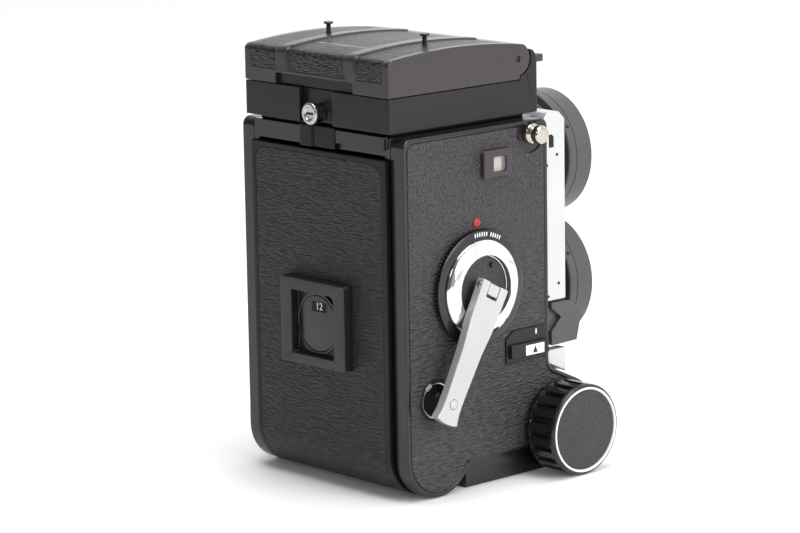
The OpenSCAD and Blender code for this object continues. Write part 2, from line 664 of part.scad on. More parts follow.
// Front of both lenses: rim with a filter thread, a beauty cone and a seat for the glass
module lens_turn(core, back) polygon([[14, -60], [14, -77], [17, -79], [21.6, -79.6], [filter_r, -79.6],
    [filter_r, lens_front], [rim_r - 0.4, lens_front], [rim_r, lens_front + 0.4], [rim_r, -74.7],
    [rim_r - 0.6, -74.7], [rim_r - 0.6, -74.3], [rim_r, -74.3], [rim_r, -70.6], [core, -69.9],
    [core, back], [14, back]]);
module viewing_lens() color(grey_black) turned_y([0, view_z]) {
    lens_turn(21, board_y[0]);
    rect([14, board_y[0] - 0.1], [16.5, -39]);
}
module taking_lens() color(grey_black) turned_y([0, take_z]) lens_turn(19.9, -57.8);
module lens_elements() color("#5a6d86") for (z = [view_z, take_z]) intersection() {
    rod_y(-79.4, -73, 14, [0, z]);
    translate([0, -79.2 + 34, z]) sphere(r = 34, $fn = 240);
}
module shutter_housing() color(black) difference() {
    union() {
        turned_y([0, take_z]) difference() {
            union() {
                rect([14, -57.8], [shutter_r, board_y[0]]);
                rect([14, board_y[0] - 0.1], [18, -39]);
            }
            rect([0, -57], [19, -46.5]);
            rect([0, -47], [15.5, -38]);
        }
        rod_x(20, 31, 2.4, [-53, 50]);
    }
    rod_x(25, 32, 1.7, [-53, 50]);
}
module speed_ring() color(grey_black) turned_y([0, take_z]) rect([19.9 + run, -64.2], [27, -57.85]);
module aperture_ring() color(black) {
    turned_y([0, take_z]) rect([19.9 + run, -69.4], [22.6, -64.4]);
    block([22.3, -68, take_z - 1.6], [27.4, -66, take_z + 1.6]);
}
module release_lever() color(grey_black) difference() {
    along_x(-42.6, -36.1) polygon([[-41.7, 47.3], [-41.7, 64], [-51.3, 63.6], [-59.4, 57.6], [-57, 54],
        [-55.4, 47.6]]);
    along_x(-44, -40.5) polygon([[-41.6, 62], [-46.9, 57.7], [-41.6, 52.6]]);
}
module lens_lock_dial() color(grey_black) {
    rod_x(half_width + 0.05, 47.8, 12, [-8, 95]);
    block([47.7, -9.2, 84.5], [49.6, -6.8, 105.5]);
}
module spool_knob(at) {
    rod_x(28.8, 46, 3, at);
    rod_x(half_width + 0.05, 50.6, 7.6, at);
}
module spool_knob_upper() color(black) spool_knob(take_up);
module spool_knob_lower() color(black) spool_knob(supply);

body_shell();
right_side_cover();
left_side_cover();
right_leather();
left_leather();
base_plate();
reflex_mirror();
mirror_frame();
focusing_screen();
supply_spool();
take_up_spool();
take_up_gear();
wind_gear();
counter_frame();
counter_glass();
counter_dial();
strap_lugs();
accessory_shoe();
release_plate();
release_slider();
crank_cup();
finder_base();
finder_screw();
hinge_cover();
magnifier_tab();
hood_lid();
lid_leather();
flap_right();
flap_left();
flap_rear();
magnifier_frame();
magnifier_lens();
back_door();
door_leather();
memo_frame();
film_dial();
pressure_plate();
door_hinge_pin();
door_latch();
selector_ring();
crank_hub();
crank_arm();
crank_knob();
focus_shaft();
focus_knobs();
knob_rings();
front_standard();
focus_racks();
lens_board();
bellows();
viewing_lens();
taking_lens();
lens_elements();
shutter_housing();
speed_ring();
aperture_ring();
release_lever();
lens_lock_dial();
spool_knob_upper();
spool_knob_lower();
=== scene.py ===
import json
import math

import bmesh
import bpy
from mathutils import Matrix, Vector

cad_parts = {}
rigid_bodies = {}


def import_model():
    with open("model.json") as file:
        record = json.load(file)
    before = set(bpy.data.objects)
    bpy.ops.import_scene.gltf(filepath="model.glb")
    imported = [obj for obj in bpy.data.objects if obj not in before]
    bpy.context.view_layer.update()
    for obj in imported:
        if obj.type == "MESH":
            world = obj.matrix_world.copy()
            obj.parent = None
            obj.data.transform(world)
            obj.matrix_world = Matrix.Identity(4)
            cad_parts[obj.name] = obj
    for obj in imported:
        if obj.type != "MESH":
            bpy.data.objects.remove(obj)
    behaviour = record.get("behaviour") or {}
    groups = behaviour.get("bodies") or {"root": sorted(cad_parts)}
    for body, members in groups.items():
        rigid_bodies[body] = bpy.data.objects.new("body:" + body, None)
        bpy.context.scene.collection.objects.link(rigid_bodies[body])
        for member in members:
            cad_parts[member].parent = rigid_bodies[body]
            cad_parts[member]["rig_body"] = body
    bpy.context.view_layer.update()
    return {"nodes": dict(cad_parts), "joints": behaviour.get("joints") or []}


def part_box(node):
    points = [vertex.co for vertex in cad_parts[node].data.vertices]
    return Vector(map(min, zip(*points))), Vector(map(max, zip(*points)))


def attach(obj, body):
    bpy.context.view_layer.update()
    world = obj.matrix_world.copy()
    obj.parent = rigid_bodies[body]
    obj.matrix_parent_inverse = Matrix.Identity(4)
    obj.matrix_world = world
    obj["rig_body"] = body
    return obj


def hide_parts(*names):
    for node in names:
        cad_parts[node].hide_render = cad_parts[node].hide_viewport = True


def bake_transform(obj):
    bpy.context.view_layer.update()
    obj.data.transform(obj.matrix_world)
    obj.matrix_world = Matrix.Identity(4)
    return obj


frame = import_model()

# Shapes are drawn in millimetres, in the frame's own axes, and scaled to metres at the end.
MM = 0.001
NODES = frame["nodes"]
JOINTS = {joint["name"]: joint for joint in frame["joints"]}
STEPS = 128  # facets round a turned piece
scene = bpy.context.scene


def corners(node):
    """Lowest and highest corners of a CAD node, in millimetres."""
    low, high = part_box(node)
    return low / MM, high / MM


def pivot(joint):
    """A hinge's point, in millimetres."""
    return Vector(JOINTS[joint]["pos_m"]) / MM


def radius_of(node, axis="y"):
    """Half of a round node's size along an axis."""
    low, high = corners(node)
    return getattr(high - low, axis) / 2


# ---- materials ----------------------------------------------------------


class Shader:
    """A material being wired: node() adds a node, and each input is a value or another node's output."""

    def __init__(self, name):
        self.material = bpy.data.materials.new(name)
        self.material.use_nodes = True
        self.tree = self.material.node_tree
        self.tree.nodes.clear()
        self.surface = self.tree.nodes.new("ShaderNodeBsdfPrincipled")
        output = self.tree.nodes.new("ShaderNodeOutputMaterial")
        self.tree.links.new(self.surface.outputs[0], output.inputs["Surface"])

    def feed(self, node, key, value):
        socket = node.inputs[key]
        if isinstance(value, bpy.types.NodeSocket):
            self.tree.links.new(value, socket)
        else:
            socket.default_value = value

    def node(self, kind, out=0, settings=None, **inputs):
        node = self.tree.nodes.new("ShaderNode" + kind)
        for key, value in (settings or {}).items():
            setattr(node, key, value)
        for key, value in inputs.items():
            self.feed(node, int(key[1:]) if key[0] == "_" else key.replace("_", " "), value)
        return node.outputs[out]

    def principled(self, **inputs):
        for key, value in inputs.items():
            self.feed(self.surface, key.replace("_", " "), value)
        return self.material

    def where(self, cell=(1, 1, 1)):
        """Object coordinates in cells of the given size in millimetres."""
        place = self.node("TexCoord", out="Object")
        scale = tuple(1 / (MM * c) for c in cell)
        return self.node("VectorMath", settings={"operation": "MULTIPLY"}, _0=place, _1=scale)

    def noise(self, vector, detail=3.0, rough=0.55):
        return self.node("TexNoise", Vector=vector, Scale=1.0, Detail=detail, Roughness=rough)

    def math(self, operation, a, b=0.5):
        return self.node("Math", settings={"operation": operation}, _0=a, _1=b)

    def span(self, value, low, high, start=0.0, end=1.0):
        """value's stretch from start to end, mapped to low to high."""
        return self.node("MapRange", _0=value, _1=start, _2=end, _3=low, _4=high)

    def blend(self, share, a, b):
        return self.node("Mix", settings={"data_type": "FLOAT"}, _0=share, _2=a, _3=b)

    def tint(self, share, a, b):
        """A colour between a and b."""
        mix = self.tree.nodes.new("ShaderNodeMix")
        mix.data_type = "RGBA"
        for key, value in ((0, share), (6, a), (7, b)):
            self.feed(mix, key, value)
        return mix.outputs[2]

    def bump(self, height, depth, strength=1.0):
        """Bump from a height of 0 to 1 that stands for depth in millimetres."""
        return self.node("Bump", Height=height, Distance=depth * MM, Strength=strength)


def grey(level):
    """A nearly neutral dark tone, a trace warmer than grey."""
    return (level, level * 0.955, level * 1.02, 1.0)


def enamel(name, level, rough, speckle=0.008, wear=0.0, gloss=0.5, cast=(1.0, 0.92, 1.0, 1.0)):
    """Baked black enamel: a fine orange peel, and patches that are a little duller."""
    shader = Shader(name)
    patches = shader.noise(shader.where((9, 9, 9)))
    peel = shader.noise(shader.where((0.45, 0.45, 0.45)), detail=2.0)
    rub = shader.noise(shader.where((30, 30, 3)), detail=5.0)
    return shader.principled(
        Base_Color=shader.tint(rub, grey(level), grey(level * (1.25 + wear))),
        Roughness=shader.span(patches, rough - 0.05, rough + 0.07),
        IOR=1.5,
        Specular_IOR_Level=gloss,
        Specular_Tint=cast,
        Normal=shader.bump(peel, speckle),
    )


def pebbles(shader, cell, drift):
    """Height of a grain of rounded cells, between creases."""
    place = shader.where()
    broad = shader.where((cell[0] * 2.2,) * 3)
    sway = shader.node("TexNoise", out="Color", Vector=broad, Scale=1.0, Detail=2.0)
    shift = shader.node("VectorMath", settings={"operation": "SCALE"}, _0=sway, Scale=drift)
    moved = shader.node("VectorMath", settings={"operation": "ADD"}, _0=place, _1=shift)
    cells = shader.node(
        "VectorMath", settings={"operation": "DIVIDE"}, _0=moved, _1=tuple(float(c) for c in cell)
    )
    near = shader.node(
        "TexVoronoi", settings={"feature": "SMOOTH_F1"}, Vector=cells, Scale=1.0, Smoothness=0.45
    )
    return shader.span(near, 1.0, 0.0, 0.05, 0.75)


def leatherette(name, level, rough, fine, long=None, change=(0.0, 1.0), depth=0.13, gloss=0.5, crease_shade=0.5):
    """Grained leatherette. Its cells are fine ones, which turn to long ones down the height change."""
    shader = Shader(name)
    height = pebbles(shader, fine, fine[0] * 0.8)
    if long:
        up = shader.node("SeparateXYZ", out="Z", _0=shader.where())
        high = shader.span(up, 0.0, 1.0, *change)
        height = shader.blend(high, pebbles(shader, long, long[0] * 0.9), height)
    dust = shader.noise(shader.where((14, 14, 14)), detail=4.0)
    pores = shader.noise(shader.where((0.16, 0.16, 0.16)), detail=2.0)
    relief = shader.blend(0.12, height, pores)
    return shader.principled(
        # colour darker in the creases of the grain and lighter on its tops: painted shade in the creases,
        # over the grain's own relief
        Base_Color=shader.tint(height, grey(level * (1 - crease_shade)), grey(level * (1 + 0.7 * crease_shade))),
        Roughness=shader.span(dust, rough - 0.06, rough + 0.08),
        IOR=1.5,
        # reflection strength lower in the creases than on the tops: painted shade in the creases
        Specular_IOR_Level=shader.span(height, gloss * (1 - 1.4 * crease_shade), gloss * (1 + 0.5 * crease_shade)),
        Specular_Tint=(1.0, 0.9, 1.02, 1.0),
        Normal=shader.bump(relief, depth),
    )


def bright_metal(name, colour, rough, brushed=(0.3, 0.3, 0.3), groove=0.004):
    """Polished or satin metal with fine brush marks and faint smudges."""
    shader = Shader(name)
    marks = shader.noise(shader.where(brushed), detail=4.0)
    smudge = shader.noise(shader.where((6, 6, 6)))
    return shader.principled(
        Base_Color=shader.tint(smudge, colour, tuple(c * 0.93 for c in colour[:3]) + (1.0,)),
        Metallic=1.0,
        Roughness=shader.span(smudge, rough * 0.8, rough * 1.3),
        Normal=shader.bump(marks, groove),
    )


def lacquered(name, colour, rough, metal=0.0, grain=0.01):
    """Smooth lacquer or moulded plastic, with a fine even grain."""
    shader = Shader(name)
    grit = shader.noise(shader.where((0.3, 0.3, 0.3)), detail=2.0)
    cast = shader.noise(shader.where((12, 12, 12)))
    return shader.principled(
        Base_Color=shader.tint(cast, colour, tuple(c * 0.85 for c in colour[:3]) + (1.0,)),
        Metallic=metal,
        Roughness=shader.span(cast, rough - 0.03, rough + 0.04),
        Normal=shader.bump(grit, grain),
    )


def coated_glass(name, colour, rough=0.02, film=0.0):
    """Clear glass, with a thin anti-reflection film where film is its thickness in nanometres."""
    shader = Shader(name)
    dust = shader.noise(shader.where((5, 5, 5)))
    return shader.principled(
        Base_Color=colour,
        Roughness=shader.span(dust, rough, rough + 0.02),
        Transmission_Weight=1.0,
        IOR=1.52,
        Thin_Film_Thickness=film,
        Thin_Film_IOR=1.38,
    )


def clear_cover(name):
    """A thin clear window that lets light and shadow through."""
    shader = Shader(name)
    dust = shader.noise(shader.where((2, 2, 2)))
    return shader.principled(
        Base_Color=(0.9, 0.92, 0.9, 1.0),
        Roughness=shader.span(dust, 0.03, 0.08),
        Alpha=0.12,
    )


def folded_cloth(name):
    """Rubberised bellows cloth, with a fine weave."""
    shader = Shader(name)
    weave = shader.node("TexWave", Vector=shader.where((0.6, 0.6, 0.6)), Scale=1.0, Distortion=0.6)
    return shader.principled(
        Base_Color=shader.tint(weave, grey(0.012), grey(0.02)),
        Roughness=0.72,
        Sheen_Weight=0.15,
        Normal=shader.bump(weave, 0.03),
    )


WARM = (1.0, 0.88, 0.97, 1.0)  # the cast of the hood's and finder's lacquer
BLACK = enamel("black_enamel", 0.010, 0.20)
# a darker, less reflective copy of the black enamel for the rear-facing film door and its latch: painted
# shade
SHADED_DOOR_BLACK = enamel("door_enamel_shaded", 0.006, 0.22, gloss=0.22)
HOOD_BLACK = enamel("hood_enamel", 0.026, 0.36, speckle=0.02, cast=WARM)
LID_BLACK = enamel("lid_enamel", 0.026, 0.24, speckle=0.015, cast=WARM)
FINDER_BLACK = enamel("finder_enamel", 0.010, 0.34, speckle=0.02, gloss=0.32, cast=WARM)
PLASTIC = lacquered("black_moulding", grey(0.012), 0.38)
SIDE_LEATHER = leatherette(
    "side_leatherette", 0.038, 0.46, (0.85, 0.8, 0.95), long=(1.5, 3.0, 0.66), change=(70.0, 112.0),
    depth=0.4, crease_shade=0.36
)
# the door's own long grain; its tone is darker and its reflection weaker than the side leather's, as painted
# shade on the rear-facing door
SHADED_DOOR_LEATHER = leatherette(
    "door_leatherette_shaded", 0.025, 0.48, (3.2, 1.4, 0.58), depth=0.38, gloss=0.44, crease_shade=0.28
)
LID_LEATHER = leatherette(
    "lid_leatherette", 0.018, 0.36, (2.4, 1.2, 0.6), depth=0.3, gloss=0.55, crease_shade=0.3
)
DISC_LEATHER = leatherette("disc_leatherette", 0.034, 0.47, (0.5, 0.5, 0.5), depth=0.12, crease_shade=0.3)
CHROME = bright_metal("bright_chrome", (0.86, 0.86, 0.85, 1.0), 0.07)
NICKEL = bright_metal("polished_nickel", (0.54, 0.50, 0.43, 1.0), 0.14)
SILVER = lacquered("satin_silver", (0.54, 0.54, 0.55, 1.0), 0.30, metal=0.45)
STANDARD_SILVER = lacquered("standard_silver", (0.64, 0.64, 0.65, 1.0), 0.30, metal=0.45)
SATIN_CHROME = bright_metal("satin_chrome", (0.50, 0.50, 0.49, 1.0), 0.24)
STEEL = bright_metal("brushed_steel", (0.60, 0.60, 0.60, 1.0), 0.30, brushed=(3, 0.1, 0.1), groove=0.01)
BRASS = bright_metal("machined_brass", (0.78, 0.60, 0.28, 1.0), 0.25, brushed=(0.1, 2, 2), groove=0.01)
LENS_BLACK = lacquered("lens_anodised", grey(0.075), 0.34, metal=0.2, grain=0.015)
DULL_BLACK = lacquered("dull_black", grey(0.008), 0.8)
WHITE = lacquered("white_enamel", (0.85, 0.85, 0.83, 1.0), 0.35)
CREAM = lacquered("cream_enamel", (0.46, 0.41, 0.34, 1.0), 0.4)
RED = lacquered("red_enamel", (0.42, 0.014, 0.013, 1.0), 0.25)
SPOOL = lacquered("spool_moulding", (0.05, 0.035, 0.025, 1.0), 0.4)
MIRROR = bright_metal("silvered_glass", (0.92, 0.92, 0.92, 1.0), 0.02)
LENS_GLASS = coated_glass("lens_glass", (0.90, 0.94, 1.0, 1.0), film=210.0)
CLEAR_GLASS = coated_glass("clear_glass", (0.96, 0.97, 0.97, 1.0))
CLEAR_COVER = clear_cover("clear_cover")
GROUND_GLASS = coated_glass("ground_glass", (0.80, 0.86, 0.88, 1.0), rough=0.45)
BELLOWS_CLOTH = folded_cloth("bellows_cloth")


# ---- building -----------------------------------------------------------


def finish_piece(bm, name, look, body, crease=35, replaced=(), weighted=False):
    """Makes a piece from a mesh drawn in millimetres, on a body."""
    bmesh.ops.recalc_face_normals(bm, faces=bm.faces)
    mesh = bpy.data.meshes.new(name)
    bm.to_mesh(mesh)
    bm.free()
    mesh.transform(Matrix.Scale(MM, 4))
    mesh.shade_smooth()
    mesh.set_sharp_from_angle(angle=math.radians(crease))
    mesh.materials.append(look)
    piece = bpy.data.objects.new(name, mesh)
    scene.collection.objects.link(piece)
    if weighted:
        piece.modifiers.new("weighted", "WEIGHTED_NORMAL").keep_sharp = True
    if body:
        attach(piece, body)
    if replaced:
        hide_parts(*replaced)
    return piece


def round_edges(bm, width, sharp=30, shortest=0.5, segments=2):
    """Rounds the sharp edges of a mesh, leaving the short edges of small round features."""
    edges = [
        edge
        for edge in bm.edges
        if len(edge.link_faces) == 2
        and edge.calc_face_angle(0) > math.radians(sharp)
        and edge.calc_length() > shortest
    ]
    bmesh.ops.bevel(
        bm, geom=edges, offset=width, segments=segments, profile=0.5, affect="EDGES",
        clamp_overlap=False, loop_slide=True,
    )


def soften(node, look, width=0.3, sharp=30, shortest=0.5, segments=2, flat=0.0):
    """A copy of a CAD node with its sharp edges rounded, which stands for it.

    Where flat is set, faces that meet within that many degrees are joined first.
    """
    source = NODES[node]
    bm = bmesh.new()
    bm.from_mesh(source.data)
    bmesh.ops.scale(bm, vec=(1 / MM,) * 3, verts=bm.verts)
    bmesh.ops.remove_doubles(bm, verts=bm.verts, dist=0.002)
    if flat:
        bmesh.ops.dissolve_limit(bm, angle_limit=math.radians(flat), verts=bm.verts, edges=bm.edges)
    round_edges(bm, width, sharp, shortest, segments)
    return finish_piece(
        bm, node + "_detail", look, source["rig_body"], replaced=(node,), weighted=True
    )


def dress(node, look):
    """Gives a CAD node that stays its finish."""
    NODES[node].data.materials.clear()
    NODES[node].data.materials.append(look)


def eased(outline, radius, steps=3):
    """The outline with its corners rounded as far as they have room. Points on the axis stay."""
    points = []
    for i, corner in enumerate(outline):
        here = Vector(corner)
        if abs(here.x) < 1e-6:
            points.append(here)
            continue
        back = Vector(outline[i - 1]) - here
        ahead = Vector(outline[(i + 1) % len(outline)]) - here
        room = min(radius, 0.45 * back.length, 0.45 * ahead.length)
        start, end = here + back.normalized() * room, here + ahead.normalized() * room
        for k in range(steps + 1):
            t = k / steps
            points.append(start * (1 - t) ** 2 + here * 2 * t * (1 - t) + end * t * t)
    return points


def about(axis, centre, radius, angle, along):
    """A point at radius and angle about an axis along X, Y or Z through centre, at along."""
    first, second = radius * math.cos(angle), radius * math.sin(angle)
    x, y, z = centre
    if axis == "x":
        return along, y + first, z + second
    if axis == "y":
        return x + first, along, z + second
    return x + first, y + second, along


def lathe(name, axis, centre, outline, look, body, steps=STEPS, cut=None, replaced=(), crease=35):
    """Turns a closed (radius, along) outline about an axis.

    cut(angle, radius, along) is taken off the radius.
    """
    bm = bmesh.new()
    rings = []
    for step in range(steps):
        angle = 2 * math.pi * step / steps
        ring = []
        for radius, along in outline:
            less = cut(angle, radius, along) if cut else 0.0
            ring.append(bm.verts.new(about(axis, centre, radius - less, angle, along)))
        rings.append(ring)
    count = len(outline)
    for step, ring in enumerate(rings):
        after = rings[(step + 1) % steps]
        for i in range(count):
            j = (i + 1) % count
            bm.faces.new((ring[i], ring[j], after[j], after[i]))
    bmesh.ops.remove_doubles(bm, verts=bm.verts, dist=0.0005)
    return finish_piece(bm, name, look, body, crease=crease, replaced=replaced)


def prism(name, axis, outline, low, high, look, body, ease=0.2, place=None, replaced=()):
    """An outline drawn across an axis, extruded from low to high, with rounded edges."""
    bm = bmesh.new()
    ring = []
    for first, second in outline:
        spot = {"x": (low, first, second), "y": (first, low, second), "z": (first, second, low)}[axis]
        ring.append(bm.verts.new(spot))
    bottom = bm.faces.new(ring)
    top = bmesh.ops.extrude_face_region(bm, geom=[bottom])["geom"]
    reach = Vector([high - low if axis == name_of else 0 for name_of in "xyz"])
    bmesh.ops.translate(bm, vec=reach, verts=[v for v in top if isinstance(v, bmesh.types.BMVert)])
    if ease:
        round_edges(bm, ease, shortest=0.02)
    if place:
        bmesh.ops.transform(bm, matrix=place, verts=bm.verts)
    return finish_piece(bm, name, look, body, replaced=replaced, weighted=True)


def slab(name, low, high, look, body, ease=0.2, place=None):
    """A block with rounded edges."""
    outline = [(low[1], low[2]), (high[1], low[2]), (high[1], high[2]), (low[1], high[2])]
    return prism(name, "x", outline, low[0], high[0], look, body, ease, place)


def numeral(name, text, size, place, look, body, thick=0.04):
    """Generic digits, laid by place from their own XY plane."""
    curve = bpy.data.curves.new(name, "FONT")
    curve.body, curve.size, curve.extrude = text, size, thick
    curve.align_x, curve.align_y = "CENTER", "CENTER"
    holder = bpy.data.objects.new(name + "_line", curve)
    scene.collection.objects.link(holder)
    bpy.context.view_layer.update()
    mesh = bpy.data.meshes.new_from_object(holder.evaluated_get(bpy.context.evaluated_depsgraph_get()))
    bm = bmesh.new()
    bm.from_mesh(mesh)
    bmesh.ops.transform(bm, matrix=place, verts=bm.verts)
    bpy.data.objects.remove(holder)
    bpy.data.meshes.remove(mesh)
    bpy.data.curves.remove(curve)
    return finish_piece(bm, name, look, body)


def facing(origin, right, up):
    """Matrix that lays a flat drawing at origin, with its X and Y along right and up."""
    x, y = Vector(right).normalized(), Vector(up).normalized()
    z = x.cross(y)
    turned = Matrix((x, y, z)).transposed().to_4x4()
    turned.translation = Vector(origin)
    return turned


# ---- casing -------------------------------------------------------------


def casing():
    soften("body_shell", BLACK, 0.35)
    for side in ("right", "left"):
        soften(side + "_side_cover", BLACK, 0.55, segments=3)
        soften(side + "_leather", SIDE_LEATHER, 0.3, flat=0.5)
    soften("base_plate", BLACK, 0.5, flat=0.5)
    soften("back_door", SHADED_DOOR_BLACK, 0.3)
    soften("door_leather", SHADED_DOOR_LEATHER, 0.25)
    soften("door_latch", SHADED_DOOR_BLACK, 0.35)
    dress("reflex_mirror", MIRROR)
    dress("mirror_frame", DULL_BLACK)
    dress("focusing_screen", GROUND_GLASS)
    dress("door_hinge_pin", STEEL)
    soften("pressure_plate", PLASTIC, 0.3)


def memo_holder():
    """Frame for a film carton's end, with the film-length dial behind its opening."""
    soften("memo_frame", PLASTIC, 0.35)
    low, high = corners("film_dial")
    centre = pivot("film_dial_turn")
    wide = radius_of("film_dial", "x")
    face = high.y
    outline = eased([(0, low.y), (wide, low.y), (wide, face), (wide - 0.7, face), (wide - 1.0, face - 0.25),
                     (wide - 1.3, face), (0, face)], 0.12)
    lathe("film_dial_disc", "y", centre, outline, BLACK, "film_dial", replaced=("film_dial",))
    window = Vector((-1, face, centre.z + 6.4))
    slab("film_dial_window", (window.x - 4, face, window.z - 1.9),
         (window.x + 4, face + 0.12, window.z + 1.9), DULL_BLACK, "film_dial", ease=0.05)
    numeral("film_dial_number", "12", 3.9, facing((-1.2, face + 0.16, window.z + 0.2), (-1, 0, 0), (0, 0, 1)),
            WHITE, "film_dial")


def strap_studs():
    low, high = corners("strap_lugs")
    centre = (0, (low.y + high.y) / 2, (low.z + high.z) / 2)
    for side, sign in (("right", -1), ("left", 1)):
        outline = [(0, 44.3), (3.9, 44.3), (3.9, 46.3), (2.9, 47.3), (2.6, 47.7), (2.9, 48.2), (3.5, 48.5),
                   (3.5, 50.8), (3.0, high.x), (0, high.x)]
        lathe("strap_stud_" + side, "x", centre, eased([(r, sign * x) for r, x in outline], 0.35), NICKEL,
              "camera_body", replaced=("strap_lugs",))


def counter():
    """Frame counter's window in the right side cover."""
    soften("counter_frame", HOOD_BLACK, 0.6, segments=3)
    soften("counter_glass", CLEAR_COVER, 0.12)
    low, high = corners("counter_glass")
    back = high.x + 0.35
    split = low.y + 0.9
    slab("counter_strip", (back, split, low.z), (back + 0.3, high.y, high.z), CREAM, "camera_body",
         ease=0.05)
    slab("counter_edge", (back, low.y, low.z), (back + 0.3, split, high.z), DULL_BLACK, "camera_body",
         ease=0.05)
    dress("counter_dial", CREAM)


def release_lock():
    soften("release_plate", FINDER_BLACK, 0.3)
    soften("release_slider", FINDER_BLACK, 0.25)
    low, high = corners("release_slider")
    face = low.x
    label = ((face - 0.06, -33.1, low.z + 0.4), (face + 0.1, -23.4, high.z - 1.0))
    slab("release_label", label[0], label[1], WHITE, "release_slider", ease=0.04)
    middle_y, middle_z = (label[0][1] + label[1][1]) / 2, (label[0][2] + label[1][2]) / 2
    mark = [(middle_y - 1.2, middle_z - 1.3), (middle_y + 1.2, middle_z - 1.3), (middle_y, middle_z + 1.4)]
    prism("release_arrow", "x", mark, face - 0.12, face, DULL_BLACK, "release_slider", ease=0)
    plate = corners("release_plate")[0].x
    slab("release_lock_mark", (plate - 0.05, -30.6, 54.4), (plate + 0.1, -29.9, 56.4), WHITE, "camera_body",
         ease=0.03)


def accessories():
    soften("accessory_shoe", STEEL, 0.25)
    low, high = corners("crank_cup")
    centre = (0, (low.y + high.y) / 2, (low.z + high.z) / 2)
    out = radius_of("crank_cup")
    outline = [(out, low.x), (out, high.x), (0, high.x), (0, high.x - 0.8), (out - 0.9, high.x - 0.8),
               (out - 0.9, low.x)]
    lathe("crank_cup_wall", "x", centre, eased(outline, 0.2), DULL_BLACK, "camera_body",
          replaced=("crank_cup",))
    ring = [(out - 1.2, low.x), (out - 1.2, low.x + 0.5), (out - 1.7, low.x + 0.5), (out - 1.7, low.x)]
    lathe("crank_cup_ring", "x", centre, eased(ring, 0.1), SATIN_CHROME, "camera_body")
    clip_turn = Matrix.Translation((0, centre[1], centre[2])) @ Matrix.Rotation(math.radians(56), 4, "X")
    slab("crank_cup_clip", (low.x - 0.15, out - 2.2, -1.5), (low.x + 0.6, out - 0.5, 1.5), SILVER,
         "camera_body", ease=0.15, place=clip_turn)


# ---- film transport -----------------------------------------------------


def transport():
    low, high = corners("selector_ring")
    hub = pivot("wind_turn")
    wide = radius_of("selector_ring")
    knurls, bite = 92, 0.8

    def knurl(angle, radius, along):
        return bite * (0.5 + 0.5 * math.cos(knurls * angle)) if radius > wide - 0.2 else 0.0

    outline = [(8.1, high.x), (wide - 1.2, high.x), (wide - 0.3, high.x - 0.1), (wide, high.x - 0.4),
               (wide, low.x + 0.7), (wide - 0.3, low.x + 0.25), (wide - 0.9, low.x), (8.1, low.x)]
    lathe("selector_ring_knurled", "x", hub, outline, BLACK, "selector_ring",
          steps=knurls * 4, cut=knurl, replaced=("selector_ring",))
    # two groups of short bars, for single and for many exposures
    marks = [82 + 3.3 * k for k in range(6)] + [105 + 3.3 * k for k in range(5)]
    for number, degrees in enumerate(marks):
        turn = Matrix.Rotation(math.radians(degrees), 4, "X")
        place = Matrix.Translation((0, hub.y, hub.z)) @ turn
        slab(f"selector_mark_{number}", (low.x - 0.04, 19.5, -0.27), (low.x + 0.1, 21.0, 0.27), WHITE,
             "selector_ring", ease=0.03, place=place)
    spot = [(0, -45.6), (1.0, -45.55), (1.6, -45.35), (1.75, -45.1), (1.75, -44.8), (0, -44.8)]
    lathe("selector_index", "x", (0, hub.y - 0.4, hub.z + 24.3), spot, RED, "camera_body",
          steps=32)
    crank()
    for node in ("supply_spool", "take_up_spool"):
        dress(node, SPOOL)
    for node in ("take_up_gear", "wind_gear"):
        dress(node, BRASS)
    for node, body in (("spool_knob_upper", "upper_spool_knob"), ("spool_knob_lower", "lower_spool_knob")):
        low, high = corners(node)
        centre = (0, (low.y + high.y) / 2, (low.z + high.z) / 2)
        wide = radius_of(node)
        shape = [(0, low.x), (3, low.x), (3, 45.05), (wide - 0.6, 45.05), (wide, 45.5), (wide, high.x - 1),
                 (wide - 0.9, high.x), (wide - 1.6, high.x - 0.3), (0, high.x - 0.3)]
        lathe(node + "_turned", "x", centre, eased(shape, 0.25), BLACK, body,
              steps=240, replaced=(node,),
              cut=lambda angle, radius, along, edge=wide: 0.35 * (math.cos(40 * angle) > 0.3)
              if radius > edge - 0.05 else 0.0)
    low, high = corners("lens_lock_dial")
    centre = pivot("lens_lock_turn")
    shape = [(0, low.x), (11.4, low.x), (12, low.x + 0.5), (12, 47.2), (11.4, 47.8), (0, 47.8)]
    lathe("lens_lock_disc", "x", centre, eased(shape, 0.3), HOOD_BLACK, "lens_lock",
          replaced=("lens_lock_dial",))
    slab("lens_lock_grip", (47.6, centre.y - 1.2, centre.z - 10.5), (high.x, centre.y + 1.2, centre.z + 10.5),
         HOOD_BLACK, "lens_lock", ease=0.4)


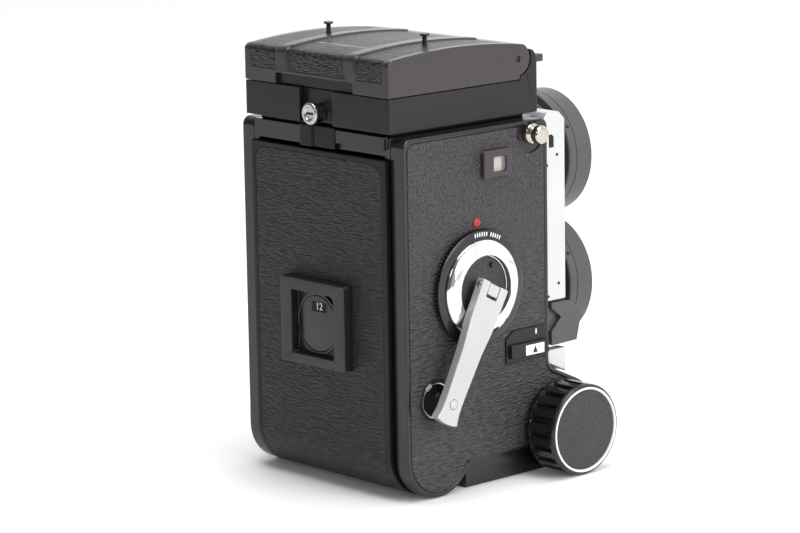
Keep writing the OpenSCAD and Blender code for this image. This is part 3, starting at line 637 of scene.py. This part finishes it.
def crank():
    """Chrome hub, folding arm and finger knob."""
    hub = pivot("wind_turn")
    outline = [(0, -48.1), (12.6, -48.1), (12.6, -50.3), (13.0, -50.6), (14.4, -50.45), (16.2, -49.95),
               (17.6, -49.2), (18.3, -48.5), (18.3, -47.65), (8, -47.65), (8, -42.4), (4, -42.4), (4, -38.6),
               (0, -38.6)]
    lathe("crank_hub_ring", "x", hub, eased(outline, 0.3), CHROME, "wind_hub", steps=160,
          replaced=("crank_hub",))
    disc = [(0, -48.35), (11.9, -48.35), (12.3, -48.2), (12.3, -48.0), (0, -48.0)]
    lathe("crank_hub_disc", "x", hub, disc, DISC_LEATHER, "wind_hub")
    fold = JOINTS["crank_fold"]
    pin_axis = Vector(fold["axis"]).normalized()
    outward = Vector((-1, 0, 0))
    along = pin_axis.cross(outward).normalized() * -1
    place = Matrix((along, pin_axis, outward)).transposed().to_4x4()
    place.translation = pivot("crank_fold")
    lug = [(-2.2, -2.7), (2.3, -2.7), (2.3, 2.7), (-2.2, 2.7)]
    prism("crank_hub_lug", "z", lug, -4.6, 1.75, SILVER, "wind_hub", ease=0.6, place=place)
    pin = [(0, -7.0), (1.0, -7.0), (1.2, -6.8), (1.2, 6.8), (1.0, 7.0), (0, 7.0)]
    rod = lathe("crank_fold_pin", "y", (0, 0, 0), pin, BRASS, None, steps=32)
    rod.data.transform(Matrix.Scale(1 / MM, 4))
    rod.data.transform(place)
    rod.data.transform(Matrix.Scale(MM, 4))
    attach(rod, "wind_hub")
    soften("crank_arm", SILVER, 0.45, segments=3, flat=0.5)
    reach = 44.8
    for name, wide, low, high, look in (
        # a dull black disc a little wider than the rivet shows as a dark ring round it: painted shade of the
        # groove round the rivet
        ("crank_rivet_shade_ring", 2.05, 1.7, 1.88, DULL_BLACK),
        ("crank_rivet", 1.8, 1.7, 1.98, SILVER),
        ("crank_rivet_pit", 0.6, 1.9, 2.02, STEEL),
    ):
        shape = [(0, low), (wide, low), (wide, high - 0.05), (wide - 0.15, high), (0, high)]
        rivet = lathe(name, "z", (reach, 0, 0), shape, look, None, steps=40)
        rivet.data.transform(Matrix.Scale(1 / MM, 4))
        rivet.data.transform(place)
        rivet.data.transform(Matrix.Scale(MM, 4))
        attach(rivet, "crank_arm")
    low, high = corners("crank_knob")
    centre = pivot("crank_knob_spin")
    knob = [(0, -54.5), (1.5, -54.5), (1.5, -50.9), (3.7, -50.9), (4.2, -50.3), (4.2, -47.9), (3.7, high.x),
            (0, high.x)]
    lathe("crank_knob_turned", "x", centre, eased(knob, 0.25), BLACK, "crank_knob", steps=64,
          replaced=("crank_knob",))
    post = [(0, -49.3), (0.9, -49.3), (1.1, -49.1), (1.1, -48.2), (0, -48.2)]
    lathe("crank_stop_post", "x", (0, hub.y - 4.8, hub.z + 8.4), post, BLACK, "wind_hub",
          steps=24)


# ---- finder and hood ----------------------------------------------------


def hood():
    soften("finder_base", FINDER_BLACK, 0.45)
    soften("hinge_cover", HOOD_BLACK, 0.3)
    soften("hood_lid", LID_BLACK, 0.3)
    slab("hood_lid_lip", (-21.0, 35.2, 150.9), (23.0, 36.3, 155.6), FINDER_BLACK, "lid",
         ease=0.1)
    soften("lid_leather", LID_LEATHER, 0.22)
    soften("magnifier_tab", HOOD_BLACK, 0.3)
    for side in ("right", "left", "rear"):
        soften("flap_" + side, BLACK, 0.15, shortest=1.2)
    soften("magnifier_frame", BLACK, 0.25)
    low, high = corners("magnifier_lens")
    centre = ((low.x + high.x) / 2, (low.y + high.y) / 2, 0)
    wide = radius_of("magnifier_lens")
    dome = [(wide * k / 8, low.z + 0.9 * (k / 8) ** 2) for k in range(9)]
    back = [(wide * k / 8, high.z - 0.9 * (k / 8) ** 2) for k in range(8, -1, -1)]
    lathe("magnifier_lens_ground", "z", centre, dome + back, CLEAR_GLASS, "magnifier",
          replaced=("magnifier_lens",))
    low, high = corners("finder_screw")
    centre = pivot("finder_screw_turn")
    shape = [(0, low.y), (1.5, low.y), (1.5, 35.7), (3.5, 35.7), (3.5, 39.0), (4.2, 39.6),
             (4.2, high.y - 0.5), (3.7, high.y), (2.6, high.y), (2.2, high.y - 0.8), (0, high.y - 0.8)]
    lathe("finder_screw_turned", "y", centre, eased(shape, 0.25), SATIN_CHROME, "finder_screw",
          steps=64, replaced=("finder_screw",))
    # a thin dull black bar across the head's hollow stands for the slot: painted shade in the slot
    slab("finder_screw_slot_shade", (-2.1, high.y - 0.85, centre.z - 0.45), (2.1, high.y - 0.7, centre.z + 0.45),
         DULL_BLACK, "finder_screw", ease=0.05)


# ---- focusing, standard and lenses ---------------------------------------


def focusing():
    shaft = pivot("focus_knob_turn")
    wide = 17.5
    flutes, bite = 20, 1.5
    dress("focus_shaft", STEEL)
    dress("focus_racks", STEEL)

    def flute(angle, radius, along):
        turn = (angle * flutes / (2 * math.pi)) % 1.0
        off = abs(turn - 0.5) * 2
        side = min(1.0, max(0.0, (off - 0.52) / 0.16))
        ends = min(1.0, max(0.0, min(abs(along) - 47.8, 58.9 - abs(along)) / 0.5))
        return bite * side * ends if radius > wide - 0.6 else 0.0

    for side, sign in (("right", -1), ("left", 1)):
        outline = [(3.05, 45.6), (8.5, 45.6), (8.5, 46.2), (16.3, 46.2), (17.2, 46.6), (wide, 47.2),
                   (wide, 47.8), (wide, 48.1), (wide, 48.3), (wide, 53), (wide, 58.4), (wide, 58.6),
                   (wide, 58.9), (wide, 60.0), (17.2, 60.5), (16.8, 60.8), (16.4, 60.8), (16.35, 59.8),
                   (3.05, 59.8)]
        lathe("focus_knob_" + side, "x", shaft, [(r, sign * x) for r, x in outline], BLACK, "focus_drive",
              steps=flutes * 16, cut=flute, replaced=("focus_knobs",), crease=45)
        ring = eased([(16.35, 59.8), (16.35, 61), (15.55, 61), (15.4, 60.3), (15.4, 59.8)], 0.2)
        lathe("focus_ring_" + side, "x", shaft, [(r, sign * x) for r, x in ring], WHITE, "focus_drive",
              steps=160, replaced=("knob_rings",))
        disc = [(0, 60.55), (14.7, 60.55), (15.2, 60.45), (15.4, 60.2), (15.4, 59.7), (0, 59.7)]
        lathe("focus_disc_" + side, "x", shaft, [(r, sign * x) for r, x in disc], DISC_LEATHER, "focus_drive",
              steps=96)


def standard():
    soften("front_standard", STANDARD_SILVER, 0.5)
    soften("lens_board", BLACK, 0.4, flat=0.5)
    high = corners("front_standard")[1]
    for side, sign in (("right", -1), ("left", 1)):
        face = sign * high.x
        slot = [(-44.0, 123.6), (-41.4, 123.6), (-41.4, 128.6), (-43.0, 128.6), (-44.0, 127.6)]
        near, far = sorted((face - sign * 0.2, face + sign * 0.06))
        prism("standard_slot_" + side, "x", slot, near, far, DULL_BLACK, "standard", ease=0.02)
        for number, (y, z) in enumerate(((-45.7, 120.6), (-40.3, 117.0), (-40.6, 66.5), (-46.2, 71.0))):
            head = [(0, face + sign * 0.25), (0.35, face + sign * 0.25), (0.62, face + sign * 0.1),
                    (0.62, face - sign * 0.2), (0, face - sign * 0.2)]
            lathe(f"standard_screw_{side}_{number}", "x", (0, y, z), head, DULL_BLACK, "standard",
                  steps=20)


def lens_outline(core, back):
    """Section of a lens's front: rim with a filter thread, beauty ring and barrel."""
    low = corners("viewing_lens")[0].y
    wide, thread, ridge = 24.3, 23.0, 0.22
    teeth = []
    for k in range(4):
        at = low + 0.6 + 0.7 * k
        teeth += [(thread, at), (thread + ridge, at + 0.35)]
    rim = [(wide - 0.5, low), (wide, low + 0.5), (wide, -74.7), (wide - 0.2, -74.6), (wide - 0.2, -74.4),
           (wide, -74.3), (wide, -71.0), (wide - 0.4, -70.5), (core + 0.2, -69.9), (core, -69.6)]
    bowl = [(14.0, -60), (14.0, -76.6), (14.6, -77.2), (17, -79), (17.3, -79.0), (17.4, -78.8), (17.7, -78.8),
            (17.8, -79.05), (21.6, -79.6), (22.0, -79.4), (22.9, -79.4)]
    return bowl + teeth[::-1] + [(thread, low + 0.3), (thread + 0.25, low)] + rim + [(core, back), (14, back)]


def lens_glass(name, height, body):
    """Front glass, with a second surface deeper in the barrel."""
    wide, bulge = 13.95, 34.0
    front = -79.2

    def sag(radius):
        return bulge - math.sqrt(bulge * bulge - radius * radius)

    dome = [(wide * k / 10, front + sag(wide * k / 10)) for k in range(11)]
    lathe(name, "y", (0, 0, height), dome + [(wide, -74.4), (0, -74.4)], LENS_GLASS, body,
          replaced=("lens_elements",), crease=50)
    inner = [(12.6 * k / 8, -66 - 2.2 * (k / 8) ** 2) for k in range(9)]
    inner += [(12.6, -64.5), (0, -64.5)]
    lathe(name + "_inner", "y", (0, 0, height), inner, LENS_GLASS, body)
    stop = [(0, -61.2), (14.1, -61.2), (14.1, -60.4), (0, -60.4)]
    lathe(name + "_stop", "y", (0, 0, height), stop, DULL_BLACK, body, steps=48)


def lenses():
    take_z = pivot("speed_ring_turn").z
    view_z = corners("viewing_lens")[1].z - 24.3
    back = corners("lens_board")[0].y
    upper = lens_outline(21, back)
    upper = upper[:-1] + [(16.5, back), (16.5, -39), (14, -39)]
    lathe("viewing_lens_barrel", "y", (0, 0, view_z), upper, LENS_BLACK, "standard", steps=192,
          replaced=("viewing_lens",), crease=28)
    lathe("taking_lens_barrel", "y", (0, 0, take_z), lens_outline(19.9, -57.8), LENS_BLACK, "standard",
          steps=192, replaced=("taking_lens",), crease=28)
    lens_glass("viewing_glass", view_z, "standard")
    lens_glass("taking_glass", take_z, "standard")
    shutter(take_z, back)
    for height in (view_z, take_z):
        for number, degrees in enumerate((30, 150, 270)):
            angle = math.radians(degrees)
            centre = (24.2 * math.cos(angle), 0, height + 24.2 * math.sin(angle))
            pit = [(0, -73.0), (0.55, -73.0), (0.55, -71.9), (0, -71.9)]
            lathe(f"lens_set_screw_{int(height)}_{number}", "y", centre, pit, DULL_BLACK, "standard",
                  steps=16)


def shutter(take_z, back):
    """Shutter case, speed ring with its numbers, aperture ring and lever."""
    case = [(14, -57.8), (25.4, -57.8), (26, -57.2), (26, back), (18, back), (18, -39), (15.5, -39),
            (15.5, -46.5), (19, -46.5), (19, -57), (14, -57)]
    lathe("shutter_case", "y", (0, 0, take_z), eased(case, 0.15), BLACK, "standard",
          steps=160, replaced=("shutter_housing",))
    stub = [(1.7, -25), (1.7, -31), (2.3, -31), (2.4, -30.6), (2.4, -25)]
    lathe("cable_release_stub", "x", (0, -53, 50), [(r, -x) for r, x in stub], STEEL, "standard",
          steps=40)
    ribs = 72
    speed = [(19.95, -57.85), (26.6, -57.85), (27, -58.3), (27, -61.6), (26.4, -62.0), (24.6, -64.1),
             (24.2, -64.2), (19.95, -64.2)]
    lathe("speed_ring_knurled", "y", (0, 0, take_z), speed, LENS_BLACK, "speed_ring",
          steps=ribs * 6, replaced=("speed_ring",), crease=30,
          cut=lambda angle, radius, along: 0.4 * (math.cos(ribs * angle) > 0.2) if radius > 26.9 else 0.0)
    labels = ("1", "2", "4", "8", "15", "30", "60", "125", "250", "500")
    for number, label in enumerate(labels):
        angle = math.radians(150 - 24 * number)
        out = Vector((math.cos(angle), 0, math.sin(angle)))
        across = Vector((math.sin(angle), 0, -math.cos(angle)))
        slope = (out * 1.8 + Vector((0, 2.1, 0))).normalized()
        spot = Vector((0, -63.12, take_z)) + out * 25.55
        numeral(f"speed_number_{label}", label, 1.7, facing(spot, across, slope), WHITE, "speed_ring",
                thick=0.03)
    stops = 60
    ring = [(20, -64.4), (22.2, -64.4), (22.6, -64.8), (22.6, -69.0), (22.2, -69.4), (20, -69.4)]
    lathe("aperture_ring_turned", "y", (0, 0, take_z), ring, BLACK, "aperture_ring",
          steps=stops * 4, replaced=("aperture_ring",), crease=30,
          cut=lambda angle, radius, along: 0.25 * (math.cos(stops * angle) > 0.0) if radius > 22.5 else 0.0)
    slab("aperture_lever", (22.2, -68, take_z - 1.6), (27.4, -66, take_z + 1.6), BLACK, "aperture_ring",
         ease=0.4)


def release():
    soften("release_lever", LENS_BLACK, 0.4)
    low, high = corners("release_lever")
    ribs = 9
    for number in range(ribs):
        share = (number + 0.5) / ribs
        y, z = -51.6 + share * (-58.9 + 51.6), 63.4 + share * (58.1 - 63.4)
        slope = math.atan2(58.1 - 63.4, -58.9 + 51.6)
        place = Matrix.Translation((0, y, z)) @ Matrix.Rotation(slope, 4, "X")
        slab(f"release_rib_{number}", (low.x + 0.5, -0.22, -0.1), (high.x - 0.5, 0.22, 0.3), LENS_BLACK,
             "release_lever", ease=0.1, place=place)


def bellows():
    """Pleated bellows, which stretch between the body and the front standard."""
    low, high = corners("bellows")
    pleats, deep, corner = 9, 2.4, 5.0
    front, rear = low.y, high.y
    rings = []
    bm = bmesh.new()
    middle_z = (low.z + high.z) / 2
    half_x, half_z = (high.x - low.x) / 2 - 0.2, (high.z - low.z) / 2 - 0.2
    stations = pleats * 2
    for number in range(stations + 1):
        y = front + (rear - front) * number / stations
        inset = deep if number % 2 else 0.0
        ring = []
        for quarter in range(4):
            turn = math.pi / 2 * quarter
            way_x = 1 if quarter in (0, 3) else -1
            way_z = 1 if quarter in (0, 1) else -1
            for k in range(5):
                angle = turn + math.pi / 2 * k / 4
                x = way_x * (half_x - inset - corner) + corner * math.cos(angle)
                z = way_z * (half_z - inset - corner) + corner * math.sin(angle)
                ring.append(bm.verts.new((x, y, middle_z + z)))
        rings.append(ring)
    for ring, after in zip(rings, rings[1:]):
        for i in range(len(ring)):
            j = (i + 1) % len(ring)
            bm.faces.new((ring[i], ring[j], after[j], after[i]))
    bmesh.ops.recalc_face_normals(bm, faces=bm.faces)
    bmesh.ops.solidify(bm, geom=bm.faces[:], thickness=0.6)
    piece = finish_piece(bm, "bellows_pleated", BELLOWS_CLOTH, None, crease=20,
                         replaced=("bellows",))
    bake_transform(piece)


# ---- stage, light and camera ---------------------------------------------


def studio():
    paper = Shader("pale_floor")
    floor_look = paper.principled(Base_Color=(0.9, 0.9, 0.895, 1.0), Roughness=0.6, Emission_Strength=0.05,
                                  Emission_Color=(1.0, 1.0, 1.0, 1.0))
    mesh = bpy.data.meshes.new("floor")
    reach = 6.0  # metres each way
    edges = [(-reach, -reach, 0), (reach, -reach, 0), (reach, reach, 0), (-reach, reach, 0)]
    mesh.from_pydata(edges, [], [(0, 1, 2, 3)])
    mesh.materials.append(floor_look)
    floor = bpy.data.objects.new("floor", mesh)
    scene.collection.objects.link(floor)
    world = bpy.data.worlds.new("studio")
    scene.world = world
    world.use_nodes = True
    tree = world.node_tree
    background = tree.nodes["Background"]
    place = tree.nodes.new("ShaderNodeTexCoord")
    split = tree.nodes.new("ShaderNodeSeparateXYZ")
    tree.links.new(place.outputs["Generated"], split.inputs[0])
    # a bright backdrop in front of the camera's lenses, and a darker room behind the film door
    depth = tree.nodes.new("ShaderNodeMapRange")
    tree.links.new(split.outputs["Y"], depth.inputs[0])
    for socket, value in ((1, -0.9), (2, 0.5), (3, 1.5), (4, 0.14)):
        depth.inputs[socket].default_value = value
    background.inputs["Color"].default_value = (1.0, 1.0, 1.0, 1.0)
    tree.links.new(depth.outputs[0], background.inputs["Strength"])
    target = Vector((0, -5, 80)) * MM
    for name, place, size, power in (
        ("softbox_right", (-1.9, -0.35, 0.9), 1.3, 27.0),
        ("softbox_top", (-0.2, 0.1, 2.2), 1.4, 34.0),
        ("softbox_rear", (-0.9, 2.0, 1.5), 0.7, 5.0),
    ):
        lamp = bpy.data.lights.new(name, "AREA")
        lamp.size, lamp.energy = size, power
        holder = bpy.data.objects.new(name, lamp)
        scene.collection.objects.link(holder)
        holder.location = place
        holder.rotation_euler = (target - Vector(place)).to_track_quat("-Z", "Y").to_euler()


def photographer():
    """A long lens behind the camera's right shoulder, a little above it."""
    azimuth, elevation, roll = (math.radians(a) for a in (227.56, 11.3, -0.94))
    back = Vector((math.sin(azimuth) * math.cos(elevation), -math.cos(azimuth) * math.cos(elevation),
                   math.sin(elevation)))
    right = Vector((math.cos(azimuth), math.sin(azimuth), 0))
    up = back.cross(right)
    right, up = (math.cos(roll) * right + math.sin(roll) * up, math.cos(roll) * up - math.sin(roll) * right)
    lens = bpy.data.cameras.new("view")
    lens.sensor_width, lens.lens = 36.0, 153.74
    lens.clip_end = 50.0
    camera = bpy.data.objects.new("view", lens)
    scene.collection.objects.link(camera)
    place = Matrix((right, up, back)).transposed().to_4x4()
    place.translation = Vector((-941.30, 857.85, 332.89)) * MM
    camera.matrix_world = place
    scene.camera = camera


photographer()
casing()
memo_holder()
strap_studs()
counter()
release_lock()
accessories()
transport()
hood()
focusing()
standard()
lenses()
release()
bellows()
studio()
scene.view_settings.view_transform = "Standard"
